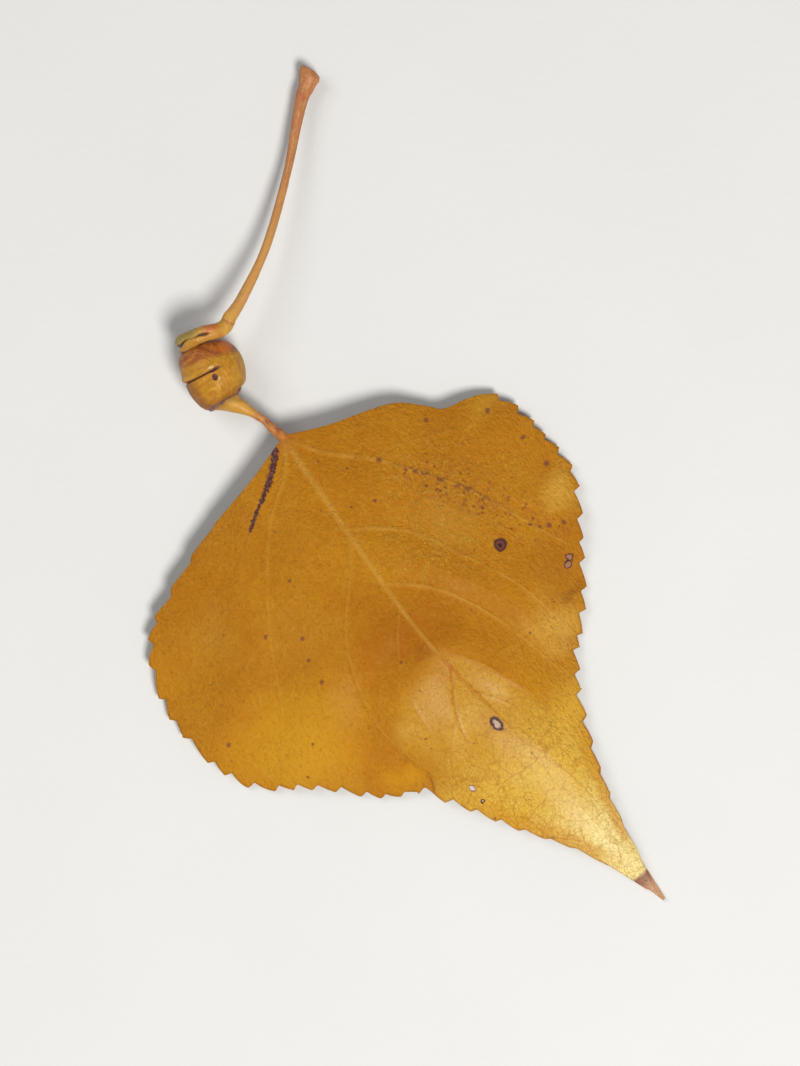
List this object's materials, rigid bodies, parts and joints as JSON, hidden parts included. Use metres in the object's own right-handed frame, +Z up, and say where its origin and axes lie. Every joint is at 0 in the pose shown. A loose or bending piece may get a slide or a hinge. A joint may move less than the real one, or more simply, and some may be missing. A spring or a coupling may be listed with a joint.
{
  "type": "fallen poplar leaf",
  "caption": "Fallen autumn poplar leaf lying face up, with a toothed pointed blade and a long stalk swollen into a spiral gall.",
  "frame": {"origin": "on the ground under the middle of the leaf's bounding box", "axes": "+Z up out of the blade's upper face, +Y towards the free end of the stalk, +X to the right seen from above"},
  "size_m": [0.0604, 0.0968, 0.0074],
  "materials": {
    "blade": "golden yellow, waxy, fine net of veins",
    "rib": "pale cream yellow, matt",
    "stalk": "tan to russet, satin",
    "gall": "ochre and russet, satin, crusty dark seams"
  },
  "bodies": {
    "root": {"blade": "blade", "midrib": "rib", "rib_left_basal": "rib", "rib_left_1": "rib", "rib_left_2": "rib", "rib_left_3": "rib", "rib_right_basal": "rib", "rib_right_1": "rib", "rib_right_2": "rib", "rib_right_3": "rib", "gall_top_coil": "gall", "gall_middle_coil": "gall", "gall_lower_coil": "gall", "gall_cone": "gall", "stalk_neck": "stalk", "stalk_upper": "stalk", "stalk_foot": "stalk"}
  },
  "joints": []
}
